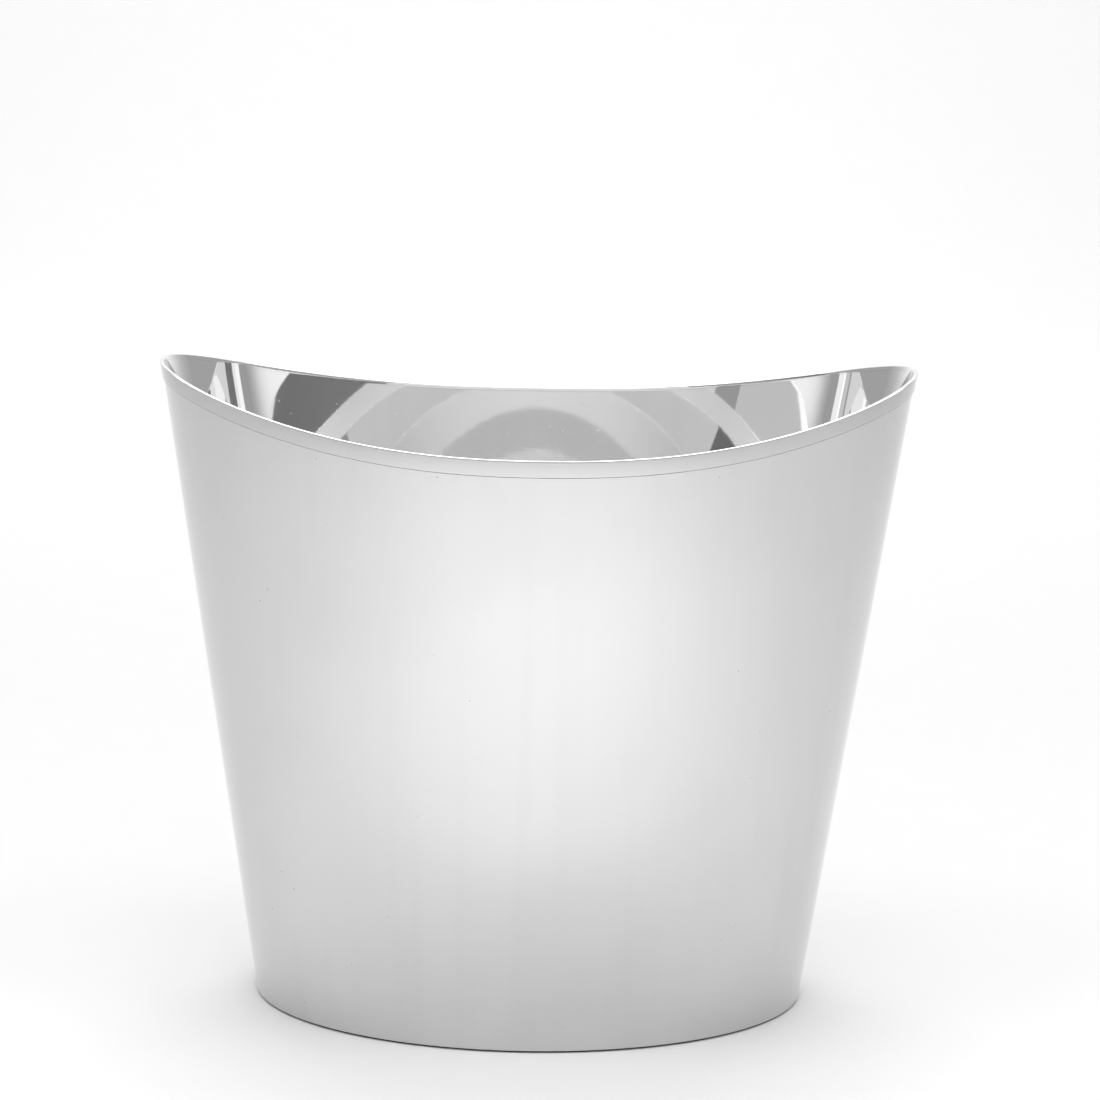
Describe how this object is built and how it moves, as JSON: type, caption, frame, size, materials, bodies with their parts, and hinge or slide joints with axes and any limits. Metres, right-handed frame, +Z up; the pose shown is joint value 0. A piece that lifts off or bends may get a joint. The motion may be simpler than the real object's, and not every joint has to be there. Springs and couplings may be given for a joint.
{
  "type": "champagne bucket",
  "caption": "Oval mirror-polished champagne bucket with tapered walls, a banded saddle-shaped rim and a flat base, without its cast end handles.",
  "frame": {"origin": "centre of the underside of the base plate, where the bucket stands", "axes": "+X along the oval's long axis, +Y across it, +Z up"},
  "size_m": [0.36, 0.21, 0.31],
  "materials": {
    "wall": "mirror-polished silver-coloured metal, faintly hazed by handling and polishing",
    "band": "mirror-polished silver-coloured metal",
    "base": "polished silver-coloured metal, duller than the wall"
  },
  "bodies": {
    "root": {"bucket_wall": "wall", "rim_band": "band", "base_plate": "base"}
  },
  "joints": []
}
